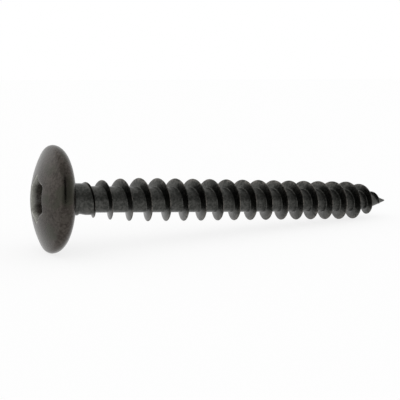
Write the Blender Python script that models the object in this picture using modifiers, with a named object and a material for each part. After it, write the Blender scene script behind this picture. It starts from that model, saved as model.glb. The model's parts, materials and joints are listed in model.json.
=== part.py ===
"""A black wood screw with a wide domed head, lying on a flat surface as it comes to rest.

The screw is drawn upright on its own axis, which is Z. The bearing face under the head is at
z = 0, the domed head is above it, and the shank runs down to the point at z = -LENGTH. The whole
screw is one forged and rolled piece, so every step below ends in one closed solid. At the end it
is laid down with its point towards +X: it touches the surface with the edge of its head and with
one crest of its thread, and the origin is under the middle of its box.
"""

import math

import bmesh
import bpy
from mathutils import Matrix, Vector

MM = 0.001

# Driving dimensions of the shank
LENGTH = 45.5 * MM  # bearing face to point
NECK_DIAMETER = 3.55 * MM
NECK_END = 0.6 * MM  # depth at which the turned neck runs on into the surface of the thread
ROOT_DIAMETER = 2.95 * MM
POINT_LENGTH = 7.0 * MM  # length over which the core is drawn in to the point
POINT_FLAT = 0.14 * MM  # diameter of the tiny flat that the point ends in

# Driving dimensions of the thread
THREAD_DIAMETER = 5.0 * MM
PITCH = 2.3 * MM
CREST_WIDTH = 0.16 * MM
FLANK_ANGLE = 17.0  # degrees, between a flank and a plane across the axis
THREAD_START = 297.0  # degrees round the axis, where the helix would cross the bearing face
START_SHIFT = 0.83 * MM  # extra depth of the helix at the bearing face
START_SHIFT_LENGTH = 4.9 * MM  # depth by which that extra depth has worn off
GROOVE_START = 0.85 * MM  # depth at which the groove begins to sink into the neck
GROOVE_RUN_IN = 1.15 * MM  # depth that it gains until it reaches the core
RIDGE_START = 1.5 * MM  # depth at which the ridge begins to rise out of the neck
RIDGE_RUN_IN = 8.7 * MM
RIDGE_FALL = 6.0 * MM  # distance from the point at which the ridge begins to sink
RIDGE_END = 1.1 * MM  # distance from the point at which the ridge is gone
RUN_OUT_POWER = 2.1
LEAST_TOOTH = 0.05  # share of its full width that a tooth keeps where it has no height

# Driving dimensions of the head
HEAD_DIAMETER = 11.7 * MM
DOME_RADIUS = 11.7 * MM
EDGE_RADIUS = 0.65 * MM  # rounds the dome into the widest circle
RIM_DEPTH = 1.35 * MM  # widest circle to the bearing face
BEARING_DIAMETER = 7.8 * MM  # outer edge of the flat bearing face
UNDERHEAD_FILLET = 0.4 * MM

# Driving dimensions of the star recess
RECESS_ACROSS_LOBES = 5.0 * MM
RECESS_ACROSS_FLUTES = 3.7 * MM
RECESS_LOBE_RADIUS = 0.42 * MM
RECESS_DEPTH = 2.2 * MM
RECESS_FLOOR_DEPTH = 0.7 * MM  # cone below the straight walls
RECESS_DRAFT = 0.93  # size of the star at the floor over its size at the mouth
RECESS_LEAD_DEPTH = 0.22 * MM
RECESS_LEAD_GROWTH = 1.06  # size of the star where its lead-in meets the dome

# How the screw lies: a facet of the rim and one of the crests are level and rest on the surface
ROLL = 8.0  # degrees that the screw is turned on its own axis

# Fineness of the faces
TURN_STEPS = 36
HEAD_STEPS = 36
DOME_POINTS = 8
EDGE_POINTS = 4
RIM_POINTS = 6
FILLET_POINTS = 4
LOBE_POINTS = 4
FLUTE_POINTS = 5
SHARP_ANGLE = 32.0  # degrees
TURNS_ABOVE = 2  # turns that the even thread starts above the bearing face, before it is cut
NECK_JOINT = 0.05 * MM  # height of the band that joins the turned neck to the thread

COLLECTION_NAME = "hinge_screw"
WELD = 1e-6


def clear_scene():
    for found in list(bpy.data.objects):
        bpy.data.objects.remove(found, do_unlink=True)


def new_collection(name):
    made = bpy.data.collections.new(name)
    bpy.context.scene.collection.children.link(made)
    return made


def blackened_steel():
    made = bpy.data.materials.new("blackened_steel")
    made.use_nodes = True
    shader = made.node_tree.nodes["Principled BSDF"]
    shader.inputs["Base Color"].default_value = (0.035, 0.034, 0.031, 1.0)
    shader.inputs["Roughness"].default_value = 0.5
    shader.inputs["Metallic"].default_value = 0.6
    return made


def object_from_bmesh(name, shape, collection):
    mesh = bpy.data.meshes.new(name)
    shape.to_mesh(mesh)
    shape.free()
    made = bpy.data.objects.new(name, mesh)
    collection.objects.link(made)
    return made


def object_from_outline(name, outline, collection):
    """An object that holds only the edges of an outline, given as (radius, height) points."""
    shape = bmesh.new()
    corners = [shape.verts.new((radius, 0.0, height)) for radius, height in outline]
    for first, second in zip(corners, corners[1:]):
        shape.edges.new((first, second))
    return object_from_bmesh(name, shape, collection)


def add_screw(target, angle, steps, rise=0.0):
    turned = target.modifiers.new("turned", "SCREW")
    turned.axis = "Z"
    turned.angle = angle
    turned.steps = steps
    turned.render_steps = steps
    turned.screw_offset = rise
    turned.use_merge_vertices = rise == 0.0
    turned.merge_threshold = WELD


def baked_mesh(source):
    """The mesh of an object with its modifiers applied."""
    graph = bpy.context.evaluated_depsgraph_get()
    return bpy.data.meshes.new_from_object(source.evaluated_get(graph))


def add_difference(target, cutter):
    cut = target.modifiers.new("cut", "BOOLEAN")
    cut.operation = "DIFFERENCE"
    cut.solver = "EXACT"
    cut.object = cutter


def arc(centre, radii, start, end, count):
    """Points along an arc of an ellipse, ends included; the angles are in degrees."""
    points = []
    for step in range(count + 1):
        angle = math.radians(start + (end - start) * step / count)
        across = centre[0] + radii[0] * math.cos(angle)
        along = centre[1] + radii[1] * math.sin(angle)
        points.append((across, along))
    return points


def dome_centre():
    """Height of the centre of the dome's sphere, which the rounded edge meets in line."""
    reach = DOME_RADIUS - EDGE_RADIUS
    return RIM_DEPTH - math.sqrt(reach**2 - (HEAD_DIAMETER / 2 - EDGE_RADIUS) ** 2)


def dome_height(radius):
    """Height of the dome above the bearing face at a distance from the axis."""
    return dome_centre() + math.sqrt(DOME_RADIUS**2 - radius**2)


def dome_outline():
    """The dome from its top to the widest circle: a piece of a sphere and a small round edge."""
    edge_centre = HEAD_DIAMETER / 2 - EDGE_RADIUS
    meeting = math.degrees(math.acos(edge_centre / (DOME_RADIUS - EDGE_RADIUS)))
    radii = (DOME_RADIUS, DOME_RADIUS)
    dome = arc((0.0, dome_centre()), radii, 90.0, meeting, DOME_POINTS)
    radii = (EDGE_RADIUS, EDGE_RADIUS)
    edge = arc((edge_centre, RIM_DEPTH), radii, meeting, 0.0, EDGE_POINTS)
    return dome + edge[1:]


def rim_outline():
    """The underside of the rim, a quarter of an ellipse from the widest circle to the bearing face."""
    bearing = BEARING_DIAMETER / 2
    radii = (HEAD_DIAMETER / 2 - bearing, RIM_DEPTH)
    return arc((bearing, RIM_DEPTH), radii, 0.0, -90.0, RIM_POINTS)


def head_outline():
    """The outline of the head and neck, from the top of the dome down its outer side."""
    neck = NECK_DIAMETER / 2
    fillet_centre = (neck + UNDERHEAD_FILLET, -UNDERHEAD_FILLET)
    fillet_radii = (UNDERHEAD_FILLET, UNDERHEAD_FILLET)
    fillet = arc(fillet_centre, fillet_radii, 90.0, 180.0, FILLET_POINTS)
    return dome_outline() + rim_outline()[1:] + fillet + [(neck, -NECK_END)]


def turned_head(collection):
    """Mesh of the head and neck, with a facet of the rim facing down when the screw lies."""
    head = object_from_outline("head", head_outline(), collection)
    add_screw(head, math.tau, HEAD_STEPS)
    mesh = baked_mesh(head)
    bpy.data.objects.remove(head, do_unlink=True)
    half_facet = math.pi / HEAD_STEPS
    mesh.transform(Matrix.Rotation(half_facet - math.radians(ROLL), 4, "Z"))
    return mesh


def progress(value, start, end):
    """How far a value has come from start to end, from 0 to 1."""
    return min(1.0, max(0.0, (value - start) / (end - start)))


def core_radius(depth):
    """Radius of the core at a depth below the bearing face: it curves in to the point."""
    left = progress(LENGTH - depth, 0.0, POINT_LENGTH)
    return ROOT_DIAMETER / 2 * (1.0 - (1.0 - left) ** 2)


def groove_radius(ridge, depth):
    """Radius of the floor of the groove, which sinks out of the neck down to the core.

    ridge is the depth of the ridge that runs along the upper side of the groove there.
    """
    neck = NECK_DIAMETER / 2
    sunk = progress(ridge, GROOVE_START, GROOVE_START + GROOVE_RUN_IN)
    return neck + (core_radius(depth) - neck) * sunk


def crest_radius(depth):
    """Radius of the crest of the thread at a depth: it swells from the neck and dies at the point."""
    neck = NECK_DIAMETER / 2
    risen = progress(depth, RIDGE_START, RIDGE_START + RIDGE_RUN_IN)
    swollen = neck + (THREAD_DIAMETER / 2 - neck) * (1.0 - (1.0 - risen) ** 2)
    sunk = progress(depth, LENGTH - RIDGE_FALL, LENGTH - RIDGE_END)
    height = (swollen - ROOT_DIAMETER / 2) * (1.0 - sunk**RUN_OUT_POWER)
    return core_radius(depth) + height


def ridge_depth(even_depth):
    """Depth of the ridge where an even helix has a given depth: the first turns are closer."""
    return even_depth + START_SHIFT * max(0.0, 1.0 - even_depth / START_SHIFT_LENGTH)


def tooth_half_widths():
    """Half the width of a tooth at its crest and at its foot."""
    crest = CREST_WIDTH / 2
    height = (THREAD_DIAMETER - ROOT_DIAMETER) / 2
    return crest, crest + height * math.tan(math.radians(FLANK_ANGLE))


def one_pitch_outline():
    """One turn of the thread in section, top to bottom: flank, crest, flank and root."""
    crest, foot = tooth_half_widths()
    root_radius = ROOT_DIAMETER / 2
    crest_full = THREAD_DIAMETER / 2
    return [
        (root_radius, foot),
        (crest_full, crest),
        (crest_full, -crest),
        (root_radius, -foot),
        (root_radius, foot - PITCH),
    ]


def even_thread(bottom, turns, collection):
    """Bmesh of an even thread: one turn in section, screwed up the core from the bottom."""
    even = object_from_outline("even_thread", one_pitch_outline(), collection)
    even.data.transform(Matrix.Translation((0.0, 0.0, bottom)))
    add_screw(even, math.tau * turns, TURN_STEPS * turns, PITCH * turns)
    shape = bmesh.new()
    shape.from_mesh(baked_mesh(even))
    bpy.data.objects.remove(even, do_unlink=True)
    bmesh.ops.remove_doubles(shape, verts=shape.verts, dist=WELD)
    return shape


def shape_thread(shape, bottom):
    """Draws the even thread in to the neck and to the point, one corner at a time."""
    root = ROOT_DIAMETER / 2
    full_height = THREAD_DIAMETER / 2 - root
    for corner in shape.verts:
        radius = math.hypot(corner.co.x, corner.co.y)
        turned = math.atan2(corner.co.y, corner.co.x) / math.tau
        whole = round((corner.co.z - bottom) / PITCH - turned)
        even_depth = -bottom - (whole + turned) * PITCH
        below_ridge = -corner.co.z - even_depth
        ridge = ridge_depth(even_depth)
        crest = crest_radius(ridge)
        share = (crest - core_radius(ridge)) / full_height
        depth = ridge + below_ridge * max(share, LEAST_TOOTH)
        upper_ridge = ridge if below_ridge > 0.0 else ridge - PITCH
        groove = groove_radius(upper_ridge, depth)
        raised = (radius - root) / full_height
        wanted = groove + raised * max(crest - groove, 0.0)
        corner.co.x *= wanted / radius
        corner.co.y *= wanted / radius
        corner.co.z = -depth


def cut_off(shape, height, normal):
    """Cuts the open shape at a height, clears the normal's side and returns the cut's edges."""
    bmesh.ops.bisect_plane(
        shape,
        geom=shape.verts[:] + shape.edges[:] + shape.faces[:],
        dist=WELD / 10,
        plane_co=(0.0, 0.0, height),
        plane_no=(0.0, 0.0, normal),
        clear_outer=True,
    )
    return [edge for edge in shape.edges if all(abs(v.co.z - height) < WELD for v in edge.verts)]


def thread_shape(collection):
    """Bmesh of the threaded shank, open at the neck and closed at the point."""
    bottom = -math.ceil(LENGTH / PITCH + 1) * PITCH
    turns = round(-bottom / PITCH) + TURNS_ABOVE
    shape = even_thread(bottom, turns, collection)
    shape_thread(shape, bottom)
    cut_off(shape, -NECK_END - NECK_JOINT, 1.0)
    point_left = POINT_LENGTH * (1.0 - math.sqrt(1.0 - POINT_FLAT / ROOT_DIAMETER))
    point_rim = cut_off(shape, point_left - LENGTH, -1.0)
    bmesh.ops.contextual_create(shape, geom=point_rim)
    bmesh.ops.transform(
        shape,
        matrix=Matrix.Rotation(math.radians(THREAD_START), 4, "Z"),
        verts=shape.verts,
    )
    return shape


def make_blank(collection):
    """The screw before its recess is punched: the neck runs on into the thread without a step."""
    shape = thread_shape(collection)
    shape.from_mesh(turned_head(collection))
    open_rims = [edge for edge in shape.edges if edge.is_boundary]
    bmesh.ops.bridge_loops(shape, edges=open_rims)
    bmesh.ops.recalc_face_normals(shape, faces=shape.faces)
    return object_from_bmesh("blank", shape, collection)


def star_outline(across_lobes, across_flutes, lobe_radius):
    """Six rounded lobes joined by six hollow flutes, as arcs that run into each other."""
    lobe_centre = across_lobes / 2 - lobe_radius
    flute = across_flutes / 2
    sixth = math.pi / 6
    lean = math.cos(sixth)
    reach = lobe_radius**2 - flute**2 - lobe_centre**2 + 2 * lobe_centre * lean * flute
    flute_radius = reach / (2 * (flute - lobe_centre * lean - lobe_radius))
    flute_centre = flute + flute_radius
    across = flute_centre * lean - lobe_centre
    along = flute_centre * math.sin(sixth)
    lobe_half = math.atan2(along, across)
    flute_half = lobe_half - sixth
    points = []
    for lobe in range(6):
        facing = lobe * math.tau / 6
        middle = Vector((math.cos(facing), math.sin(facing))) * lobe_centre
        for step in range(LOBE_POINTS + 1):
            angle = facing + lobe_half * (2 * step / LOBE_POINTS - 1)
            points.append(middle + Vector((math.cos(angle), math.sin(angle))) * lobe_radius)
        facing += sixth
        middle = Vector((math.cos(facing), math.sin(facing))) * flute_centre
        for step in range(1, FLUTE_POINTS):
            angle = facing + math.pi + flute_half * (1 - 2 * step / FLUTE_POINTS)
            points.append(middle + Vector((math.cos(angle), math.sin(angle))) * flute_radius)
    return points


def make_recess_cutter(collection):
    """The star punch: a lead-in that opens towards the dome, drafted walls and a conical floor.

    The depths are measured from where the lobes meet the dome. The lead-in is carried on past the
    top of the dome, so that the punch cuts the whole mouth.
    """
    star = star_outline(RECESS_ACROSS_LOBES, RECESS_ACROSS_FLUTES, RECESS_LOBE_RADIUS)
    mouth = dome_height(RECESS_ACROSS_LOBES / 2)
    lead_start = mouth - RECESS_LEAD_DEPTH
    top = dome_height(0.0) + RECESS_LEAD_DEPTH
    top_size = 1.0 + (RECESS_LEAD_GROWTH - 1.0) * (top - lead_start) / RECESS_LEAD_DEPTH
    levels = [
        (top, top_size),
        (lead_start, 1.0),
        (mouth - RECESS_DEPTH, RECESS_DRAFT),
    ]
    shape = bmesh.new()
    rings = []
    for height, size in levels:
        rings.append([shape.verts.new((p.x * size, p.y * size, height)) for p in star])
    shape.faces.new(rings[0])
    for upper, lower in zip(rings, rings[1:]):
        for index in range(len(star)):
            after = (index + 1) % len(star)
            shape.faces.new((upper[index], lower[index], lower[after], upper[after]))
    tip = shape.verts.new((0.0, 0.0, mouth - RECESS_DEPTH - RECESS_FLOOR_DEPTH))
    last = rings[-1]
    for index in range(len(star)):
        shape.faces.new((last[index], tip, last[(index + 1) % len(star)]))
    bmesh.ops.recalc_face_normals(shape, faces=shape.faces)
    cutter = object_from_bmesh("recess_cutter", shape, collection)
    cutter.hide_render = True
    cutter.display_type = "WIRE"
    return cutter


def centre_of_mass(mesh):
    """Centre of mass of a closed mesh, summed over the tetrahedra from the origin to its faces."""
    mesh.calc_loop_triangles()
    volume = 0.0
    moment = Vector((0.0, 0.0, 0.0))
    for triangle in mesh.loop_triangles:
        a, b, c = (mesh.vertices[index].co for index in triangle.vertices)
        part = a.dot(b.cross(c)) / 6
        volume += part
        moment += (a + b + c) * part / 4
    return moment / volume


def lying_tilt(mesh):
    """Angle of the axis to the surface, and the height of the bearing face's centre above it.

    Seen from the side, with the axis level, the points that can touch the surface form a chain
    from the edge of the head to the point. The surface runs along the link of that chain which
    is under the centre of mass.
    """
    corners = [(-v.co.z, -v.co.x) for v in mesh.vertices]
    balance = -centre_of_mass(mesh).z
    contact = max(corners, key=lambda corner: corner[1])
    while True:
        ahead = [c for c in corners if c[0] > contact[0] + WELD]
        following = max(ahead, key=lambda c: (c[1] - contact[1]) / (c[0] - contact[0]))
        if following[0] > balance:
            break
        contact = following
    slope = (contact[1] - following[1]) / (following[0] - contact[0])
    tilt = math.atan(slope)
    height = (contact[1] + contact[0] * slope) * math.cos(tilt)
    return tilt, height


def lay_down(screw, collection):
    """Lays the screw on the surface, point towards +X, with the origin under its middle."""
    screw.data.transform(Matrix.Rotation(math.radians(ROLL), 4, "Z"))
    tilt, height = lying_tilt(screw.data)
    lying = bpy.data.objects.new("lying_axis", None)
    collection.objects.link(lying)
    lying.rotation_euler.y = tilt - math.pi / 2
    screw.parent = lying
    turn = Matrix.Rotation(tilt - math.pi / 2, 3, "Y")
    reach = [(turn @ v.co).x for v in screw.data.vertices]
    side = [(turn @ v.co).y for v in screw.data.vertices]
    lying.location = (-(min(reach) + max(reach)) / 2, -(min(side) + max(side)) / 2, height)


def make_screw(collection, cutters):
    blank = make_blank(collection)
    recess = make_recess_cutter(cutters)
    add_difference(blank, recess)
    screw = bpy.data.objects.new("hinge_screw", baked_mesh(blank))
    collection.objects.link(screw)
    for used in (blank, recess):
        bpy.data.objects.remove(used, do_unlink=True)
    screw.data.materials.clear()
    screw.data.materials.append(blackened_steel())
    screw.data.shade_smooth()
    screw.data.set_sharp_from_angle(angle=math.radians(SHARP_ANGLE))
    return screw


def main():
    clear_scene()
    screws = new_collection(COLLECTION_NAME)
    cutters = new_collection("cutters")
    screw = make_screw(screws, cutters)
    lay_down(screw, screws)


main()
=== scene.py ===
# %% [markdown]
# # A black hinge screw on a white table
#
# The object is one steel screw: a wide domed head with a star recess, a short plain neck and a
# coarse wood thread that runs to a sharp point. The solid model of it is already there and stays
# as it is. This script dresses it: it makes a finer screw in the same place, gives it the dark
# metal finish of the real one, and sets up the light and the camera.
#
# The first step loads the solid model. It tells where the screw lies: its one mount is the flat
# ring under the head, so the mount's axis is the axis of the screw.

# %% Load the solid model
import json
import math

import bmesh
import bpy
import numpy as np
from mathutils import Matrix, Vector


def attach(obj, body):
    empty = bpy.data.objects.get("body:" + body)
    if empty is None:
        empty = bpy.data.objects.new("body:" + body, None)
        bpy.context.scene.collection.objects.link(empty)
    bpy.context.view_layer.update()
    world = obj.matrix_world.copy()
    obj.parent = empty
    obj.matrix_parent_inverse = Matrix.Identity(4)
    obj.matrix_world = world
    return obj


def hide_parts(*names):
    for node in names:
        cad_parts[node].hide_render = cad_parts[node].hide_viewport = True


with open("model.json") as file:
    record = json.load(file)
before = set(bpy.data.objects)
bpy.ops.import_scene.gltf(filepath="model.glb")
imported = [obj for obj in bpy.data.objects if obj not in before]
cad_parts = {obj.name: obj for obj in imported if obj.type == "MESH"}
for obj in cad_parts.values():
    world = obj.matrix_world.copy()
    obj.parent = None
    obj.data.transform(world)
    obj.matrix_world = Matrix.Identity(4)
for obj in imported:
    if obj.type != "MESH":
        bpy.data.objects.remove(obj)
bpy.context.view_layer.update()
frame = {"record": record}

MM = 0.001

# %% [markdown]
# ## Where the screw lies
#
# The screw rests on the edge of its head and on a crest near its point, so its axis leans a few
# degrees. A turned and threaded piece is far easier to draw upright, on its own axis, and to lay
# down at the end. So the piece is made with the bearing face at z = 0, the head above it and the
# point below, and one matrix takes it to its place.

# %% The lying place
bearing_mount = frame["record"]["mounts"][0]
down_the_screw = Vector(bearing_mount["axis"]).normalized()
level = Vector((0.0, 1.0, 0.0))
upwards = level.cross(-down_the_screw)
on_the_ring = Vector(bearing_mount["pos_m"])
bearing_centre = on_the_ring - level * on_the_ring.dot(level)
lying_place = Matrix((upwards, level, -down_the_screw)).transposed().to_4x4()
lying_place.translation = bearing_centre
print("axis leans", round(math.degrees(math.asin(-down_the_screw.z)), 2), "degrees")

# %% [markdown]
# ## Sizes
#
# These are the real sizes of the screw. They are those of the solid model, but for two: the width
# of the crest and the angle of the flanks are smaller here, which makes a tooth slimmer by up to
# 0.1 mm a side. The solid keeps the thicker tooth, with which it comes to rest in its test. The
# last group is what a solid for weighing and collision can leave out, but a close look can't: the
# small radii that forging and thread rolling leave at every corner, and the flutes of the recess,
# which open a little towards its mouth.

# %% Sizes of the shank and thread
LENGTH = 45.5 * MM
NECK_DIAMETER = 3.55 * MM
NECK_END = 0.6 * MM
ROOT_DIAMETER = 2.95 * MM
POINT_LENGTH = 7.0 * MM
POINT_FLAT = 0.14 * MM
THREAD_DIAMETER = 5.0 * MM
PITCH = 2.3 * MM
CREST_WIDTH = 0.12 * MM
FLANK_ANGLE = math.radians(13.0)
THREAD_START = math.radians(297.0)
START_SHIFT = 0.83 * MM
START_SHIFT_LENGTH = 4.9 * MM
GROOVE_START = 0.85 * MM
GROOVE_RUN_IN = 1.15 * MM
RIDGE_START = 1.5 * MM
RIDGE_RUN_IN = 8.7 * MM
RIDGE_FALL = 6.0 * MM
RIDGE_END = 1.1 * MM
RUN_OUT_POWER = 2.1
LEAST_TOOTH = 0.05
START_TOOTH = 1.0
START_TOOTH_FADE = 1.0 * MM
print("turns of thread:", round((LENGTH - RIDGE_START) / PITCH, 1))

# %% Sizes of the head and recess
HEAD_DIAMETER = 11.7 * MM
DOME_RADIUS = 11.7 * MM
EDGE_RADIUS = 0.65 * MM
RIM_DEPTH = 1.35 * MM
BEARING_DIAMETER = 7.8 * MM
UNDERHEAD_FILLET = 0.4 * MM
RECESS_ACROSS_LOBES = 5.0 * MM
RECESS_ACROSS_FLUTES = 3.7 * MM
RECESS_LOBE_RADIUS = 0.42 * MM
RECESS_DEPTH = 2.2 * MM
RECESS_FLOOR_DEPTH = 0.7 * MM
RECESS_DRAFT = 0.93
ROLL = math.radians(8.0)
print("head:", round(HEAD_DIAMETER / MM, 1), "mm, recess:", round(RECESS_ACROSS_LOBES / MM, 1), "mm")

# %% Small radii and the mouth of the recess
ROOT_FILLET = 0.12 * MM
MOUTH_RADIUS = 0.22 * MM
FLOOR_RADIUS = 0.25 * MM
FLUTE_OPENING = 0.5 * MM
FLUTE_OPENING_DEPTH = 0.9 * MM
print("smallest fillet:", round(min(ROOT_FILLET, MOUTH_RADIUS, FLOOR_RADIUS) / MM, 2), "mm")

# %% [markdown]
# ## The shape of the thread
#
# Thread rolling presses a helical ridge out of plain wire. It could be modelled by sweeping a
# profile along a helix, but a sweep turns its profile and thins it at the ends. Here the surface
# is a grid instead: one direction runs down the helix, the other runs across one pitch, and the
# last column of one turn is the first column of the next. The groove sinks out of the neck, the
# ridge swells out of it and dies away on the core near the point, and the core curves in to the
# point. So each of them is a function of the depth below the head.

# %% Radius of the core, the groove and the crest
def progress(value, start, end):
    """How far a value has come from start to end, from 0 to 1."""
    return np.clip((value - start) / (end - start), 0.0, 1.0)


def core_radius(depth):
    """Radius of the wire at a depth below the bearing face; it curves in to the point."""
    left = progress(LENGTH - depth, 0.0, POINT_LENGTH)
    return ROOT_DIAMETER / 2 * (1.0 - (1.0 - left) ** 2)


def groove_radius(ridge, depth):
    """Radius of the groove's floor; ridge is the depth of the ridge along its upper side."""
    neck = NECK_DIAMETER / 2
    sunk = progress(ridge, GROOVE_START, GROOVE_START + GROOVE_RUN_IN)
    return neck + (core_radius(depth) - neck) * sunk


def crest_radius(depth):
    """Radius of the top of the ridge at a depth."""
    neck = NECK_DIAMETER / 2
    risen = progress(depth, RIDGE_START, RIDGE_START + RIDGE_RUN_IN)
    swollen = neck + (THREAD_DIAMETER / 2 - neck) * (1.0 - (1.0 - risen) ** 2)
    sunk = progress(depth, LENGTH - RIDGE_FALL, LENGTH - RIDGE_END)
    return core_radius(depth) + (swollen - ROOT_DIAMETER / 2) * (1.0 - sunk**RUN_OUT_POWER)


def ridge_depth(even_depth):
    """Depth of the ridge where an even helix has a given depth: the first turns are closer."""
    return even_depth + START_SHIFT * np.maximum(0.0, 1.0 - even_depth / START_SHIFT_LENGTH)


for depth in (2.0, 10.0, 30.0, 42.0):
    print("depth", depth, "mm: crest", round(float(crest_radius(depth * MM)) / MM, 2), "mm")

# %% [markdown]
# Across one pitch the section is a hollow root, a fillet, a flank, and a crest that is round
# because the dies never fill to a sharp edge. Two circles do it: one touches both flanks and the
# crest line, the other touches the root line and the flank.

# %% Section across one pitch
CREST_POINTS = 8
FILLET_POINTS = 6
FLANK_POINTS = 3


def circle_points(centre, radius, start, end, count):
    """Points (across, up) along an arc; the angles are in radians, ends included."""
    angles = np.linspace(start, end, count)
    return [(centre[0] + radius * math.cos(a), centre[1] + radius * math.sin(a)) for a in angles]


def tooth_section():
    """Half a tooth from its crest to the root, as (distance from its middle, height) points."""
    height = (THREAD_DIAMETER - ROOT_DIAMETER) / 2
    lean = math.tan(FLANK_ANGLE)
    half_crest = CREST_WIDTH / 2
    crest_circle = half_crest * math.cos(FLANK_ANGLE) / (1.0 - math.sin(FLANK_ANGLE))
    crest = circle_points((0.0, height - crest_circle), crest_circle,
                          math.pi / 2, FLANK_ANGLE, CREST_POINTS)
    foot = half_crest + height * lean
    reach = ROOT_FILLET * math.tan((math.pi / 2 - FLANK_ANGLE) / 2)
    fillet = circle_points((foot + reach, ROOT_FILLET), ROOT_FILLET,
                           math.pi + FLANK_ANGLE, 1.5 * math.pi, FILLET_POINTS)
    flank = [
        tuple(Vector(crest[-1]).lerp(Vector(fillet[0]), step / (FLANK_POINTS + 1)))
        for step in range(1, FLANK_POINTS + 1)
    ]
    return crest + flank + fillet


half_tooth = tooth_section()
section = [(-across, up) for across, up in reversed(half_tooth)] + half_tooth[1:]
print(len(section), "points a pitch, tooth", round(2 * half_tooth[-1][0] / MM, 2), "mm wide")

# %% [markdown]
# The grid is worked out with arrays: every row is one small step down the helix. A tooth that is
# low is also narrow, so its section is drawn in towards its middle by the same share as its
# height. Only the very start stays as wide as a full tooth. There is no ridge there yet, and the
# neck steps down into the groove, which a narrow section would turn into a sharp dark line. The
# column in the middle of the root is shared by two turns and stays where it is.

# %% Points of the thread
TURN_STEPS = 108
SPARE_TURNS = 3


def thread_points():
    """Points of the helical grid, rows down the helix and columns across one pitch."""
    turns = math.ceil(LENGTH / PITCH) + SPARE_TURNS
    rows = np.arange(turns * TURN_STEPS + 1)
    even = rows * PITCH / TURN_STEPS - PITCH
    angle = THREAD_START + ROLL - math.tau * even / PITCH
    ridge = ridge_depth(even)
    full_height = (THREAD_DIAMETER - ROOT_DIAMETER) / 2
    share = (crest_radius(ridge) - core_radius(ridge)) / full_height
    start = START_TOOTH * (1.0 - progress(ridge, RIDGE_START, RIDGE_START + START_TOOTH_FADE))
    share = np.maximum(share, np.maximum(start, LEAST_TOOTH))[:, None]
    across = np.array([point[0] for point in section])[None, :] * share
    middle_of_root = (ridge_depth(even - PITCH) - ridge) / 2
    across = np.hstack([middle_of_root[:, None], across])
    raised = np.array([0.0] + [point[1] / full_height for point in section])[None, :]
    depth = ridge[:, None] + across
    upper_ridge = np.where(across > 0.0, ridge[:, None], ridge[:, None] - PITCH)
    groove = groove_radius(upper_ridge, depth)
    radius = groove + raised * np.maximum(crest_radius(ridge)[:, None] - groove, 0.0)
    points = [radius * np.cos(angle)[:, None], radius * np.sin(angle)[:, None], -depth]
    return np.stack(points, axis=2)


def grid_faces(rows, columns):
    """Quads of the helical grid; past its last column comes the first one of the next turn."""
    faces = []
    for row in range(rows - 1 - TURN_STEPS):
        for column in range(columns):
            here = row * columns + column
            if column < columns - 1:
                beside = here + 1
            else:
                beside = (row + TURN_STEPS) * columns
            faces.append((here, here + columns, beside + columns, beside))
    return faces


thread_grid = thread_points()
print("grid of", thread_grid.shape[0], "rows and", thread_grid.shape[1], "columns")

# %% [markdown]
# The grid starts above the bearing face and ends past the point. Two planes cut it: one in the
# neck, where it stays open for the head to join it, and one just before the core has no width
# left, where a tiny flat closes it.

# %% The threaded shank
WELD = 1e-6
NECK_JOINT = 0.05 * MM


def cut_across(shape, height, side):
    """Cuts the shape level at a height, clears the side that the sign names, returns the rim."""
    everything = shape.verts[:] + shape.edges[:] + shape.faces[:]
    bmesh.ops.bisect_plane(shape, geom=everything, dist=WELD / 10, clear_outer=True,
                           plane_co=(0.0, 0.0, height), plane_no=(0.0, 0.0, side))
    return [edge for edge in shape.edges if all(abs(v.co.z - height) < WELD for v in edge.verts)]


def shank_shape():
    """The shank as a bmesh, open at the neck and closed at the point."""
    rows, columns = thread_grid.shape[:2]
    mesh = bpy.data.meshes.new("shank_grid")
    mesh.from_pydata(thread_grid.reshape(-1, 3).tolist(), [], grid_faces(rows, columns))
    shape = bmesh.new()
    shape.from_mesh(mesh)
    bpy.data.meshes.remove(mesh)
    loose = [vert for vert in shape.verts if not vert.link_faces]
    bmesh.ops.delete(shape, geom=loose, context="VERTS")
    cut_across(shape, -NECK_END - NECK_JOINT, 1.0)
    point_left = POINT_LENGTH * (1.0 - math.sqrt(1.0 - POINT_FLAT / ROOT_DIAMETER))
    bmesh.ops.contextual_create(shape, geom=cut_across(shape, point_left - LENGTH, -1.0))
    return shape


shank = shank_shape()
print("shank:", len(shank.faces), "faces")

# %% [markdown]
# ## The head
#
# The head is forged between a punch and a die and comes out as a body of revolution, so its
# outline is turned round the axis. The dome is a piece of a large sphere, a small round edge leads
# into the widest circle, and the underside curves in to the flat ring that bears on the hinge.
# Blender's Spin tool turns an outline in one go.

# %% Outline of the head
DOME_STEPS = 40
EDGE_STEPS = 12
UNDERSIDE_STEPS = 20
SMALL_STEPS = 6
AROUND = 144


def dome_height(radius):
    """Height of the dome above the bearing face at a distance from the axis."""
    reach = DOME_RADIUS - EDGE_RADIUS
    centre = RIM_DEPTH - math.sqrt(reach**2 - (HEAD_DIAMETER / 2 - EDGE_RADIUS) ** 2)
    return centre + math.sqrt(DOME_RADIUS**2 - radius**2)


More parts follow.
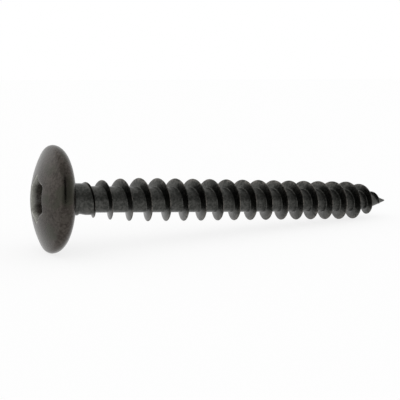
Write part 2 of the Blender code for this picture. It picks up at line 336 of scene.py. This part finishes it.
def head_outline():
    """The outline as (radius, height) points, from the top of the dome down its outer side."""
    edge_centre = HEAD_DIAMETER / 2 - EDGE_RADIUS
    meeting = math.acos(edge_centre / (DOME_RADIUS - EDGE_RADIUS))
    dome_centre = dome_height(0.0) - DOME_RADIUS
    dome = circle_points((0.0, dome_centre), DOME_RADIUS, math.pi / 2, meeting, DOME_STEPS)
    edge = circle_points((edge_centre, RIM_DEPTH), EDGE_RADIUS, meeting, 0.0, EDGE_STEPS)
    bearing = BEARING_DIAMETER / 2
    turn_in = circle_points((0.0, 0.0), 1.0, 0.0, -math.pi / 2, UNDERSIDE_STEPS)
    underside = [
        (bearing + (HEAD_DIAMETER / 2 - bearing) * across, RIM_DEPTH * (1.0 + up))
        for across, up in turn_in
    ]
    neck = NECK_DIAMETER / 2
    fillet_centre = (neck + UNDERHEAD_FILLET, -UNDERHEAD_FILLET)
    fillet = circle_points(fillet_centre, UNDERHEAD_FILLET, math.pi / 2, math.pi, SMALL_STEPS)
    return dome + edge[1:] + underside[1:] + fillet + [(neck, -NECK_END)]


def head_shape():
    """The head and neck as a bmesh, open at the end of the neck."""
    shape = bmesh.new()
    corners = [shape.verts.new((radius, 0.0, height)) for radius, height in head_outline()]
    edges = [shape.edges.new(pair) for pair in zip(corners, corners[1:])]
    bmesh.ops.spin(shape, geom=corners + edges, angle=math.tau, steps=AROUND, cent=(0, 0, 0),
                   axis=(0, 0, 1), use_merge=True)
    bmesh.ops.remove_doubles(shape, verts=shape.verts, dist=WELD)
    return shape


head = head_shape()
print("head:", len(head.faces), "faces, dome top", round(dome_height(0.0) / MM, 2), "mm")

# %% [markdown]
# ## Head and shank in one skin
#
# The neck runs on into the thread without a step, because all of it is one wire. A boolean union
# would do it, but it leaves slivers where two surfaces almost touch. The two open rims face each
# other across a narrow gap, so a band of triangles closes it. Bridge Edge Loops makes such a band
# too, but it folds faces over when the two rims have unlike numbers of points, as these have.

# %% A band between two rims
def around(vert):
    """Angle of a point round the axis."""
    return math.atan2(vert.co.y, vert.co.x)


def rim_points(edges):
    """The points of a rim in their order round the axis."""
    return sorted({vert for edge in edges for vert in edge.verts}, key=around)


def band_between(shape, upper_edges, lower_edges):
    """Triangles from one level rim to the other: each takes the point that comes next."""
    upper, lower = rim_points(upper_edges), rim_points(lower_edges)
    high = low = 0
    while high < len(upper) or low < len(lower):
        after_high, after_low = (high + 1) % len(upper), (low + 1) % len(lower)
        next_high = around(upper[after_high]) + math.tau * (after_high == 0)
        next_low = around(lower[after_low]) + math.tau * (after_low == 0)
        here, below = upper[high % len(upper)], lower[low % len(lower)]
        if high < len(upper) and (low == len(lower) or next_high < next_low):
            shape.faces.new((here, upper[after_high], below))
            high += 1
        else:
            shape.faces.new((here, lower[after_low], below))
            low += 1


print("rims:", sum(edge.is_boundary for edge in head.edges), "edges at the head,",
      sum(edge.is_boundary for edge in shank.edges), "at the shank")

# %% Join the head and the shank
def new_piece(name, shape):
    """An object that shows the mesh which a bmesh holds."""
    mesh = bpy.data.meshes.new(name)
    shape.to_mesh(mesh)
    shape.free()
    made = bpy.data.objects.new(name, mesh)
    bpy.context.scene.collection.objects.link(made)
    return made


def joined(first, second):
    """Both shapes as one object, with a band of triangles between their open rims."""
    carried = bpy.data.meshes.new("carried")
    second.to_mesh(carried)
    second.free()
    first.from_mesh(carried)
    bpy.data.meshes.remove(carried)
    rims = [edge for edge in first.edges if edge.is_boundary]
    middle = -NECK_END - NECK_JOINT / 2
    upper = [edge for edge in rims if edge.verts[0].co.z > middle]
    lower = [edge for edge in rims if edge.verts[0].co.z < middle]
    band_between(first, upper, lower)
    bmesh.ops.recalc_face_normals(first, faces=first.faces)
    print("edges that don't join two faces:", sum(not edge.is_manifold for edge in first.edges))
    return new_piece("black_screw", first)


screw = joined(shank, head)
print("screw without its recess:", len(screw.data.polygons), "faces")

# %% [markdown]
# ## The star recess
#
# A six-lobed punch makes the recess. Its section is a ring of arcs: lobes that bulge out and
# flutes that bulge in, which meet without a corner. The cutter is a stack of such rings. Near the
# mouth each ring is a little wider than the one below it, along a quarter circle, which leaves the
# soft edge that the dome has there. The mouth is not level, so each ring follows the dome. The
# flutes bulge in less at the mouth than lower down, as the photograph shows.

# %% One ring of the star
LOBES = 6
LOBE_POINTS = 10
FLUTE_POINTS = 12


def star_ring(grow, size=1.0, opening=0.0):
    """Lobes and flutes as (x, y) points: grow moves all outwards, opening the flutes alone."""
    lobe = RECESS_LOBE_RADIUS * size + grow
    lobe_centre = RECESS_ACROSS_LOBES / 2 * size + grow - lobe
    flute = (RECESS_ACROSS_FLUTES + opening) / 2 * size + grow
    half_sector = math.pi / LOBES
    lean = math.cos(half_sector)
    reach = lobe**2 - flute**2 - lobe_centre**2 + 2 * lobe_centre * lean * flute
    hollow = reach / (2 * (flute - lobe_centre * lean - lobe))
    hollow_centre = flute + hollow
    rise = hollow_centre * math.sin(half_sector)
    lobe_half = math.atan2(rise, hollow_centre * lean - lobe_centre)
    points = []
    for turn in range(LOBES):
        facing = turn * math.tau / LOBES + ROLL
        middle = (lobe_centre * math.cos(facing), lobe_centre * math.sin(facing))
        points += circle_points(middle, lobe, facing - lobe_half, facing + lobe_half, LOBE_POINTS)
        facing += half_sector
        middle = (hollow_centre * math.cos(facing), hollow_centre * math.sin(facing))
        back = facing + math.pi
        bend = lobe_half - half_sector
        points += circle_points(middle, hollow, back + bend, back - bend, FLUTE_POINTS)[1:-1]
    return points


print("star ring:", len(star_ring(0.0)), "points")

# %% The recess cutter
MOUTH_RINGS = 6
FLOOR_RINGS = 5


def cutter_rings():
    """Rings of the cutter from above the dome down to the floor, as lists of points."""
    rings = []
    for step in range(MOUTH_RINGS + 1):
        turned = math.pi / 2 * step / MOUTH_RINGS
        grow = MOUTH_RADIUS * (1.0 - math.sin(turned))
        below = MOUTH_RADIUS * (1.0 - math.cos(turned))
        ring = star_ring(grow, opening=FLUTE_OPENING)
        rings.append([(x, y, dome_height(math.hypot(x, y)) - below) for x, y in ring])
    above = [(x, y, dome_height(0.0) + MOUTH_RADIUS) for x, y, z in rings[0]]
    mouth = dome_height(RECESS_ACROSS_LOBES / 2)
    floor = mouth - RECESS_DEPTH
    opened = FLUTE_OPENING_DEPTH / RECESS_DEPTH
    ring = star_ring(0.0, 1.0 + (RECESS_DRAFT - 1.0) * opened)
    rings.append([(x, y, mouth - FLUTE_OPENING_DEPTH) for x, y in ring])
    for step in range(FLOOR_RINGS + 1):
        turned = math.pi / 2 * step / FLOOR_RINGS
        shrink = FLOOR_RADIUS * (1.0 - math.cos(turned))
        height = floor + FLOOR_RADIUS * (1.0 - math.sin(turned))
        rings.append([(x, y, height) for x, y in star_ring(-shrink, RECESS_DRAFT)])
    return [above] + rings


def make_recess_cutter():
    """The cutter as an object: the rings joined into a skin, with a cone for its bottom."""
    shape = bmesh.new()
    rings = [[shape.verts.new(point) for point in ring] for ring in cutter_rings()]
    shape.faces.new(rings[0])
    for upper, lower in zip(rings, rings[1:]):
        for index in range(len(upper)):
            after = (index + 1) % len(upper)
            shape.faces.new((upper[index], lower[index], lower[after], upper[after]))
    tip_height = dome_height(RECESS_ACROSS_LOBES / 2) - RECESS_DEPTH - RECESS_FLOOR_DEPTH
    tip = shape.verts.new((0.0, 0.0, tip_height))
    last = rings[-1]
    for index in range(len(last)):
        shape.faces.new((last[index], tip, last[(index + 1) % len(last)]))
    bmesh.ops.recalc_face_normals(shape, faces=shape.faces)
    return new_piece("recess_cutter", shape)


recess_cutter = make_recess_cutter()
print("recess cutter:", len(recess_cutter.data.polygons), "faces")

# %% [markdown]
# ## Punch the recess
#
# The punch displaces steel on the real screw. A boolean difference does the same job here, and the
# screw stays one closed skin with no face left inside. Smooth shading hides the facets, and only
# edges that turn more than a fillet does are kept sharp.

# %% Cut the recess
SHARP_ANGLE = math.radians(38.0)


def punch(target, cutter):
    """Cuts the cutter out of the target and removes the cutter."""
    tool = target.modifiers.new("recess", "BOOLEAN")
    tool.operation = "DIFFERENCE"
    tool.solver = "EXACT"
    tool.object = cutter
    graph = bpy.context.evaluated_depsgraph_get()
    mesh = bpy.data.meshes.new_from_object(target.evaluated_get(graph))
    target.modifiers.clear()
    target.data = mesh
    bpy.data.objects.remove(cutter, do_unlink=True)


punch(screw, recess_cutter)
screw.data.shade_smooth()
screw.data.set_sharp_from_angle(angle=SHARP_ANGLE)
triangles = sum(len(face.vertices) - 2 for face in screw.data.polygons)
print("screw:", triangles, "triangles")

# %% [markdown]
# ## Writing shader maths as sums
#
# The finish is made of masks: where the head ends, how deep a point is in the recess, how high it
# is on a tooth. Written node by node such masks are unreadable, so one small class wraps a socket
# and turns + - * into Math nodes. Every other node comes from its method `node`.

# %% The Signal class
class Signal:
    """One output in a node tree. Arithmetic on it adds Math nodes to the tree."""

    def __init__(self, tree, socket=None):
        self.tree = tree
        self.socket = socket

    def node(self, kind, settings=None, sockets=None, output=0):
        """Adds a node: its type, its settings, then the values or links of its sockets."""
        made = self.tree.nodes.new(kind)
        for name, value in (settings or {}).items():
            setattr(made, name, value)
        for name, value in (sockets or {}).items():
            if isinstance(value, Signal):
                self.tree.links.new(value.socket, made.inputs[name])
            else:
                made.inputs[name].default_value = value
        return Signal(self.tree, made.outputs[output])

    def math(self, operation, first, second=0.0):
        return self.node("ShaderNodeMath", {"operation": operation}, {0: first, 1: second})

    def __add__(self, other):
        return self.math("ADD", self, other)

    def __radd__(self, other):
        return self.math("ADD", other, self)

    def __sub__(self, other):
        return self.math("SUBTRACT", self, other)

    def __rsub__(self, other):
        return self.math("SUBTRACT", other, self)

    def __mul__(self, other):
        return self.math("MULTIPLY", self, other)

    def __rmul__(self, other):
        return self.math("MULTIPLY", other, self)


print("operators of a signal: + - *")

# %% Ramps, blends and noise
MIX_COLOUR_A = 6
MIX_COLOUR_B = 7


def ramp(value, start, end):
    """0 below start, 1 above end and a smooth rise between them; start may be above end."""
    settings = {"interpolation_type": "SMOOTHSTEP"}
    if start > end:
        return 1.0 - ramp(value, end, start)
    sockets = {"Value": value, "From Min": start, "From Max": end}
    return value.node("ShaderNodeMapRange", settings, sockets)


def blend_colours(mask, below, above):
    """A colour that goes from below to above as the mask goes from 0 to 1."""
    sockets = {"Factor": mask, MIX_COLOUR_A: below, MIX_COLOUR_B: above}
    return mask.node("ShaderNodeMix", {"data_type": "RGBA"}, sockets, output=2)


def noise(place, scale, detail, roughness):
    """Cloudy noise, mostly between 0.3 and 0.7, with patches of about 1 / scale metres."""
    sockets = {"Vector": place, "Scale": scale, "Detail": detail, "Roughness": roughness}
    return place.node("ShaderNodeTexNoise", None, sockets)


print("helpers:", ", ".join(helper.__name__ for helper in (ramp, blend_colours, noise)))

# %% [markdown]
# ## The black finish
#
# The steel is blackened in a bath that grows a very thin coat. It is not a paint: the metal still
# mirrors the room through it, only darkly and softly. So Metallic is 1, and the base colour says
# how much of the room each place sends back. On the head that is a little brown with olive patches,
# on the shank a neutral black with a hint of green, and everywhere it is faintly mottled. On the
# crests the handling of loose screws has rubbed the coat thin. In the recess the coat is dull, and
# the walls near the mouth are given a pale colour as painted light, which stands for the light that
# reaches their shallow part; deeper down they keep the dark colour of the head.
#
# The masks need two things that a shader can't find out. One is the place of each point on the
# upright screw, in which z is the height above the bearing face, because the mesh will lie in its
# place on the table. The other is the height on a tooth, which depends on the run-in and run-out.
# Both are stored on the mesh as attributes, and the mesh is laid down after that.

# %% Places and heights on the tooth, stored on the mesh
def store_attributes(mesh):
    """Writes each point's upright place, and its height on the tooth from 0 to 1 at the crest."""
    places = np.zeros(len(mesh.vertices) * 3)
    mesh.vertices.foreach_get("co", places)
    upright = mesh.attributes.new("upright_place", "FLOAT_VECTOR", "POINT")
    upright.data.foreach_set("vector", places)
    places = places.reshape(-1, 3)
    radius = np.hypot(places[:, 0], places[:, 1])
    depth = -places[:, 2]
    core = core_radius(depth)
    ridge = np.maximum(crest_radius(depth) - core, WELD)
    height = np.clip((radius - core) / ridge, 0.0, 1.0) * progress(depth, RIDGE_START, PITCH)
    stored = mesh.attributes.new("tooth_height", "FLOAT", "POINT")
    stored.data.foreach_set("value", height)
    return height


tooth_height = store_attributes(screw.data)
print("points on crests:", int((tooth_height > 0.9).sum()))

# %% Lay the screw down
screw.data.transform(lying_place)
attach(screw, "root")
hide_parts("hinge_screw")
lowest = min(vert.co.z for vert in screw.data.vertices)
print("lowest point of the screw:", round(lowest / MM, 3), "mm")

# %% Colours of the finish
HEAD_BROWN = (0.037, 0.032, 0.028, 1.0)
HEAD_PALE = (0.071, 0.062, 0.055, 1.0)
HEAD_OLIVE = (0.044, 0.044, 0.034, 1.0)
SHANK_BLACK = (0.034, 0.035, 0.032, 1.0)
SHANK_GREY = (0.078, 0.078, 0.073, 1.0)
RUBBED = (0.17, 0.155, 0.14, 1.0)
# Painted light: the pale colour of the recess walls near the mouth, standing for the light that
# reaches them.
MOUTH_PAINTED_LIGHT = (0.37, 0.37, 0.335, 1.0)
print("the shank mirrors", SHANK_BLACK[0], "to", SHANK_GREY[0], "of the light")

# %% [markdown]
# ### Where each finish begins
#
# A mask is 0 or 1 over most of the surface, with a soft change between. Each pair of numbers says
# where its mask begins and where it is full: in metres for a place, or in the value of a noise. The
# head's brown ends on the neck. The recess is what lies below the dome, near the axis and above the
# bearing face.

# %% Masks from the place on the screw
HEAD_BEGINS = (-0.9 * MM, -0.1 * MM)
RECESS_BELOW_DOME = (0.0 * MM, 0.08 * MM)
RECESS_REACHES = (2.95 * MM, 2.85 * MM)
RECESS_ABOVE_BEARING = (0.02 * MM, 0.10 * MM)
# The painted light on the recess walls is full down to 0.1 mm below the dome and gone at 0.85 mm.
MOUTH_LIGHT_BELOW_DOME = (0.85 * MM, 0.10 * MM)


def zones(place):
    """Masks of the head, of the recess and of the painted light on the wall near its mouth."""
    parts = place.node("ShaderNodeSeparateXYZ", None, {0: place}).socket.node.outputs
    across_x, across_y, up = [Signal(place.tree, part) for part in parts]
    out = place.math("SQRT", across_x * across_x + across_y * across_y)
    dome_centre = dome_height(0.0) - DOME_RADIUS
    dome = place.math("SQRT", DOME_RADIUS**2 - out * out) + dome_centre
    below_dome = dome - up
    in_recess = ramp(below_dome, *RECESS_BELOW_DOME) * ramp(out, *RECESS_REACHES)
    in_recess = in_recess * ramp(up, *RECESS_ABOVE_BEARING)
    return ramp(up, *HEAD_BEGINS), in_recess, ramp(below_dome, *MOUTH_LIGHT_BELOW_DOME)


print("zones change within", round((HEAD_BEGINS[1] - HEAD_BEGINS[0]) / MM, 2), "mm on the neck")

# %% [markdown]
# ### Mottling, rubbing and relief
#
# Two noises do most of it. The clouds are about a millimetre across, the grains a quarter of that,
# and together they mottle the colour, roughen the surface and raise it by a hundredth of a
# millimetre. A third, coarser one lays the olive patches on the head. A noise is given as its
# patches in a metre, its detail and how rough the detail is.

# %% Values of the mottling
CLOUDS = (900.0, 4.0, 0.6)
GRAINS = (3600.0, 3.0, 0.6)
PATCHES = (480.0, 3.0, 0.5)
GRAIN_IN_MOTTLE = 0.6
MOTTLE_BEGINS = (0.36, 0.64)
PATCH_BEGINS = (0.50, 0.64)
PATCH_STRENGTH = 0.8
RUBBED_HEIGHT = (0.45, 0.98)
RUBBED_BEGINS = (0.62, 0.86)
GRAIN_IN_RUBBED = 0.5
RUBBED_STRENGTH = 0.5
# How much the mottling shows in the painted light near the mouth of the recess.
MOTTLE_IN_MOUTH_LIGHT = 0.2
print("clouds:", round(1000 / CLOUDS[0], 2), "mm, grains:", round(1000 / GRAINS[0], 2), "mm")

# %% Roughness and relief
ROUGHNESS = 0.31
HEAD_SMOOTHER = 0.05
MOTTLE_ROUGHER = 0.05
RUBBED_SMOOTHER = 0.06
GRAIN_RELIEF = 0.6
CLOUD_RELIEF = 0.8
RELIEF_STRENGTH = 0.5
RELIEF_HEIGHT = 0.02 * MM
print("roughness of the head:", round(ROUGHNESS - HEAD_SMOOTHER, 2), "to", ROUGHNESS)

# %% The material
def blackened_steel():
    """The one material of the screw: dark metal, with dull walls in the recess."""
    made = bpy.data.materials.new("blackened_steel")
    made.use_nodes = True
    tree = made.node_tree
    shader = tree.nodes["Principled BSDF"]
    start = Signal(tree)
    place = start.node("ShaderNodeAttribute", {"attribute_name": "upright_place"}, None, "Vector")
    tooth = start.node("ShaderNodeAttribute", {"attribute_name": "tooth_height"}, None, "Fac")
    on_head, in_recess, near_mouth = zones(place)

    cloud = noise(place, *CLOUDS)
    grain = noise(place, *GRAINS)
    mottle = ramp(cloud * (1.0 - GRAIN_IN_MOTTLE) + grain * GRAIN_IN_MOTTLE, *MOTTLE_BEGINS)
    patches = ramp(noise(place, *PATCHES), *PATCH_BEGINS)
    worn = ramp(cloud + grain * GRAIN_IN_RUBBED, *RUBBED_BEGINS)
    rubbed = ramp(tooth, *RUBBED_HEIGHT) * worn
    # Painted light: the recess walls near the mouth are coloured pale, a little mottled.
    mouth_light = in_recess * near_mouth * (1.0 - MOTTLE_IN_MOUTH_LIGHT + mottle * MOTTLE_IN_MOUTH_LIGHT)

    shank_colour = blend_colours(mottle, SHANK_BLACK, SHANK_GREY)
    head_colour = blend_colours(mottle, HEAD_BROWN, HEAD_PALE)
    head_colour = blend_colours(patches * PATCH_STRENGTH, head_colour, HEAD_OLIVE)
    colour = blend_colours(on_head, shank_colour, head_colour)
    colour = blend_colours(rubbed * RUBBED_STRENGTH, colour, RUBBED)
    # The pale painted light goes over the colour of the recess walls near the mouth.
    colour = blend_colours(mouth_light, colour, MOUTH_PAINTED_LIGHT)

    roughness = ROUGHNESS - on_head * HEAD_SMOOTHER + mottle * MOTTLE_ROUGHER
    roughness = roughness - rubbed * RUBBED_SMOOTHER
    relief = grain * GRAIN_RELIEF + cloud * CLOUD_RELIEF
    sockets = {"Strength": RELIEF_STRENGTH, "Distance": RELIEF_HEIGHT, "Height": relief}
    bump = start.node("ShaderNodeBump", None, sockets)

    tree.links.new(colour.socket, shader.inputs["Base Color"])
    tree.links.new(roughness.socket, shader.inputs["Roughness"])
    tree.links.new((1.0 - in_recess).socket, shader.inputs["Metallic"])
    tree.links.new(bump.socket, shader.inputs["Normal"])
    return made


screw.data.materials.clear()
screw.data.materials.append(blackened_steel())
print("nodes in the material:", len(screw.data.materials[0].node_tree.nodes))

# %% [markdown]
# ## The white table and the white room
#
# The photograph has a white surround: nothing shows but the screw, and its undersides catch the
# white of the table. A plain white floor alone would come out grey, and stronger lamps would bleach
# the screw. So the table gives off part of its white by itself. What the screw mirrors is all of
# that kind, because a mirrored shadow would blacken the undersides. The camera sees a mixture, in
# which the lit part still takes the shadow.

# %% Rays that should see white
def sees_white(start):
    """1 for rays of the camera and for rays that a glossy or clear surface sends on."""
    rays = ("Is Camera Ray", "Is Glossy Ray", "Is Transmission Ray")
    found = [start.node("ShaderNodeLightPath", output=name) for name in rays]
    return start.math("MINIMUM", found[0] + found[1] + found[2], 1.0)


print("white for:", "camera, glossy and clear rays")

# %% The white table
FLOOR_SIZE = 6.0
FLOOR_WHITE = (0.94, 0.94, 0.94, 1.0)
FLOOR_GLOW_SEEN = 0.80
WHITE = (1.0, 1.0, 1.0, 1.0)


def make_floor(height):
    """The table top, lit and glowing in the shares that the rays ask for."""
    shape = bmesh.new()
    bmesh.ops.create_grid(shape, x_segments=1, y_segments=1, size=FLOOR_SIZE / 2)
    floor = new_piece("table_top", shape)
    floor.location.z = height
    made = bpy.data.materials.new("white_table")
    made.use_nodes = True
    tree = made.node_tree
    tree.nodes.clear()
    start = Signal(tree)
    lit = start.node("ShaderNodeBsdfDiffuse", None, {"Color": FLOOR_WHITE})
    glow = start.node("ShaderNodeEmission", None, {"Color": WHITE, "Strength": 1.0})
    seen_straight = start.node("ShaderNodeLightPath", output="Is Camera Ray")
    share = sees_white(start) - seen_straight * (1.0 - FLOOR_GLOW_SEEN)
    mixed = start.node("ShaderNodeMixShader", None, {0: share, 1: lit, 2: glow})
    output = tree.nodes.new("ShaderNodeOutputMaterial")
    tree.links.new(mixed.socket, output.inputs["Surface"])
    floor.data.materials.append(made)
    return floor


floor = make_floor(lowest)
print("table top at", round(floor.location.z / MM, 3), "mm")

# %% [markdown]
# One side of the room is not white: it is the unlit part of a studio, with a tall dark screen in
# it. Dark metal shows this more than anything else, as the dark band along the round edge of the
# head and as the dark middle of each turn of the thread. So what the screw mirrors gets dark towards
# that side, and darkest where the screen stands, while the light on the table stays even. Both
# stand still in the room, wherever the camera goes.

# %% The white room with its dark side
ROOM_LIGHT = 0.88
BLACK = (0.0, 0.0, 0.0, 1.0)
FRONT = Vector((-0.30, -0.95, 0.0)).normalized()
FRONT_BEGINS = (-0.5, 0.6)
FRONT_DARK = 0.52
SCREEN = Vector((-0.45, -0.89, 0.05)).normalized()
SCREEN_BEGINS = (0.30, 0.75)
SCREEN_SIDE = Vector((0.89, -0.45, 0.0)).normalized()
SCREEN_WIDTH = (0.16, 0.02)
SCREEN_DARK = 0.48


def towards(direction, side):
    """How far a direction points to a side of the room: 1 straight at it, -1 away from it."""
    sockets = {0: direction, 1: side}
    return direction.node("ShaderNodeVectorMath", {"operation": "DOT_PRODUCT"}, sockets, "Value")


def make_room():
    """A world that lights the screw evenly and looks white, but for a dark side in reflections."""
    world = bpy.data.worlds.new("white_room")
    bpy.context.scene.world = world
    world.use_nodes = True
    tree = world.node_tree
    tree.nodes.clear()
    start = Signal(tree)
    direction = start.node("ShaderNodeTexCoord", output="Generated")
    aside = towards(direction, SCREEN_SIDE)
    screen = ramp(towards(direction, SCREEN), *SCREEN_BEGINS) * ramp(aside * aside, *SCREEN_WIDTH)
    dark = ramp(towards(direction, FRONT), *FRONT_BEGINS) * FRONT_DARK + screen * SCREEN_DARK
    mirrored = start.node("ShaderNodeLightPath", output="Is Glossy Ray")
    white = start.node("ShaderNodeBackground", None, {"Color": WHITE, "Strength": 1.0})
    black = start.node("ShaderNodeBackground", None, {"Color": BLACK, "Strength": 1.0})
    seen = start.node("ShaderNodeMixShader", None, {0: mirrored * dark, 1: white, 2: black})
    lighting = start.node("ShaderNodeBackground", None, {"Color": WHITE, "Strength": ROOM_LIGHT})
    mixed = start.node("ShaderNodeMixShader", None, {0: sees_white(start), 1: lighting, 2: seen})
    output = tree.nodes.new("ShaderNodeOutputWorld")
    tree.links.new(mixed.socket, output.inputs["Surface"])


make_room()
print("room light:", ROOM_LIGHT)

# %% [markdown]
# ## The lamp
#
# One large soft lamp stands high behind the head, on the left. It lifts the upper left of the dome
# and of each crest. A sun lamp with a wide angle does this: it is soft like a studio box and lights
# the whole table alike, so the white has no falloff.

# %% The soft key lamp
KEY_STRENGTH = 0.5
KEY_SPREAD = math.radians(100.0)
KEY_FROM = Vector((-0.75, 0.35, 1.0))


def make_key():
    """The lamp, turned so that it shines from KEY_FROM."""
    light = bpy.data.lights.new("key", "SUN")
    light.energy = KEY_STRENGTH
    light.angle = KEY_SPREAD
    lamp = bpy.data.objects.new("key", light)
    bpy.context.scene.collection.objects.link(lamp)
    lamp.rotation_euler = KEY_FROM.to_track_quat("Z", "Y").to_euler()


make_key()
print("key lamp from", [round(part, 2) for part in KEY_FROM])

# %% [markdown]
# ## The camera
#
# The photograph is a close one: the head is nearer than the point and looks larger. The camera's
# place was worked out from the outline of the screw in the picture. It is given here as the way
# it looks, and as where the middle of the bearing face lies in front of it.

# %% The camera at the photograph's viewing angle
SENSOR = 36.0
PHOTO_SIZE = 400
FOCAL_PIXELS = 720.0
VIEW_AZIMUTH = math.radians(27.31)
VIEW_DOWN = math.radians(9.81)
BEARING_IN_VIEW = Vector((-14.8152, 0.0777, 78.3232)) * MM


def make_camera():
    """The camera, as far from the bearing face and turned as in the photograph."""
    lens = bpy.data.cameras.new("camera")
    lens.sensor_width = SENSOR
    lens.lens = FOCAL_PIXELS * SENSOR / PHOTO_SIZE
    lens.clip_start = 1.0 * MM
    camera = bpy.data.objects.new("camera", lens)
    bpy.context.scene.collection.objects.link(camera)
    flat = math.cos(VIEW_DOWN)
    sideways, inwards = math.sin(VIEW_AZIMUTH), math.cos(VIEW_AZIMUTH)
    forward = Vector((sideways * flat, inwards * flat, -math.sin(VIEW_DOWN)))
    right = Vector((inwards, -sideways, 0.0))
    above = right.cross(forward)
    away = right * BEARING_IN_VIEW.x + above * BEARING_IN_VIEW.y + forward * BEARING_IN_VIEW.z
    turned = Matrix((right, above, -forward)).transposed().to_4x4()
    turned.translation = bearing_centre - away
    camera.matrix_world = turned
    bpy.context.scene.camera = camera
    return camera


camera = make_camera()
print("camera at, mm:", [round(part / MM, 1) for part in camera.location])

# %% [markdown]
# ## Finish
#
# The colours are shown as they are written.

# %% Settings
bpy.context.scene.view_settings.view_transform = "Standard"
